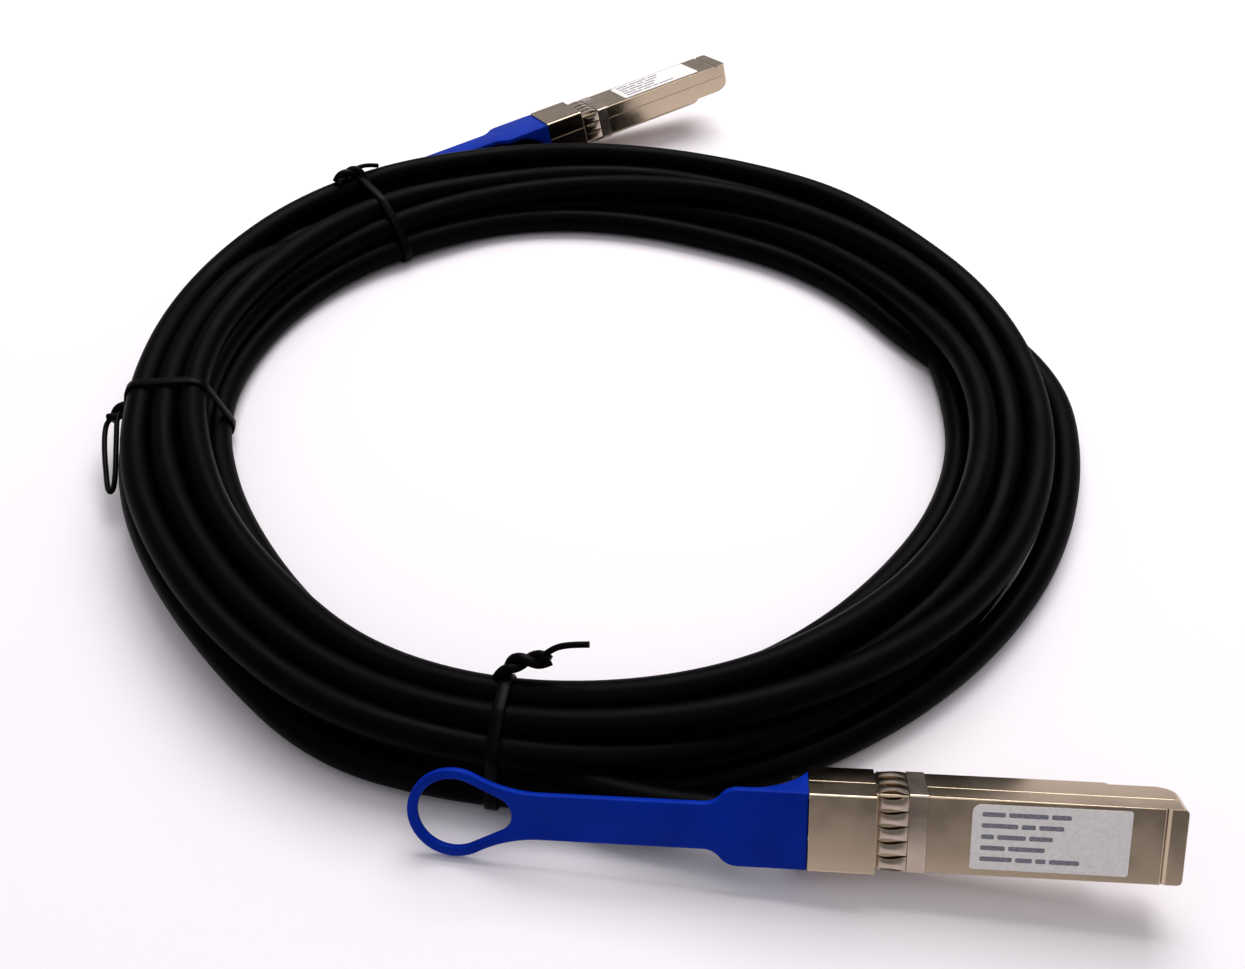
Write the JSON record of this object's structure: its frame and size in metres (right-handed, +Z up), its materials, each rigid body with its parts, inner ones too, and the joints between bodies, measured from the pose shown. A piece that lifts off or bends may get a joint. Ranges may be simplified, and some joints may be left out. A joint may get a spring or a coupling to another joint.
{
  "type": "direct attach copper cable",
  "caption": "Coiled twinaxial copper cable, tied for storage, with a metal pluggable connector and a blue pull tab on each end.",
  "frame": {"origin": "on the surface the cable lies on, at the centre of the ground that the two plugs span", "axes": "+Z up; +Y from the near plug across the coil to the far plug; +X to the right, the way the near plug points"},
  "size_m": [0.2117, 0.2693, 0.0208],
  "materials": {
    "die_cast_shell": "satin nickel plate over die-cast zinc",
    "gasket_spring": "plated spring sheet",
    "label_film": "matte printed film",
    "board_laminate": "solder mask over glass laminate",
    "gold_contact": "gold flash",
    "crimp_ferrule": "crimped",
    "steel_hardware": "bright plate",
    "tab_plastic": "moulded, soft gloss",
    "cable_jacket": "extruded jacket with a faint sheen",
    "tie_plastic": "plastic-coated twist tie",
    "wire_insulation": "extruded insulation"
  },
  "bodies": {
    "root": {"near_base_shell": "die_cast_shell", "near_cover_shell": "die_cast_shell", "near_emi_gasket": "gasket_spring", "near_label": "label_film", "near_circuit_board": "board_laminate", "near_contact_pads": "gold_contact", "near_cable_ferrule": "crimp_ferrule", "near_cover_rivets": "steel_hardware", "near_latch_pin": "steel_hardware", "near_latch_spring": "steel_hardware", "near_transmit_pair": "wire_insulation", "near_receive_pair": "wire_insulation", "far_base_shell": "die_cast_shell", "far_cover_shell": "die_cast_shell", "far_emi_gasket": "gasket_spring", "far_label": "label_film", "far_circuit_board": "board_laminate", "far_contact_pads": "gold_contact", "far_cable_ferrule": "crimp_ferrule", "far_cover_rivets": "steel_hardware", "far_latch_pin": "steel_hardware", "far_latch_spring": "steel_hardware", "far_transmit_pair": "wire_insulation", "far_receive_pair": "wire_insulation", "cable_coil": "cable_jacket", "near_lead": "cable_jacket", "far_lead": "cable_jacket", "front_tie": "tie_plastic", "left_tie": "tie_plastic", "rear_tie": "tie_plastic"},
    "near_tab": {"near_pull_tab": "tab_plastic", "near_release_slider": "steel_hardware"},
    "near_latch": {"near_latch_rocker": "steel_hardware"},
    "far_tab": {"far_pull_tab": "tab_plastic", "far_release_slider": "steel_hardware"},
    "far_latch": {"far_latch_rocker": "steel_hardware"}
  },
  "joints": [
    {"name": "near_tab_slide", "type": "slide", "parent": "root", "child": "near_tab", "axis": [-0.9933, 0.0939, -0.068], "range_m": [0, 0.002], "stiffness_N_per_m": 1000},
    {"name": "near_latch_rock", "type": "hinge", "parent": "root", "child": "near_latch", "pos_m": [0.03594, -0.11994, 0.00781], "axis": [0.013, -0.4928, -0.8701], "range_deg": [0, 6], "deforming": ["near_latch_spring"]},
    {"name": "far_tab_slide", "type": "slide", "parent": "root", "child": "far_tab", "axis": [-0.8806, -0.4584, -0.1201], "range_m": [0, 0.002], "stiffness_N_per_m": 1000},
    {"name": "far_latch_rock", "type": "hinge", "parent": "root", "child": "far_latch", "pos_m": [-0.01869, 0.10487, 0.00415], "axis": [0.4259, -0.8768, 0.2233], "range_deg": [0, 6], "deforming": ["far_latch_spring"]}
  ],
  "couplings": [
    {"joint": "near_latch_rock", "follows": "near_tab_slide", "rad_per_m": 43.633},
    {"joint": "far_latch_rock", "follows": "far_tab_slide", "rad_per_m": 43.633}
  ]
}
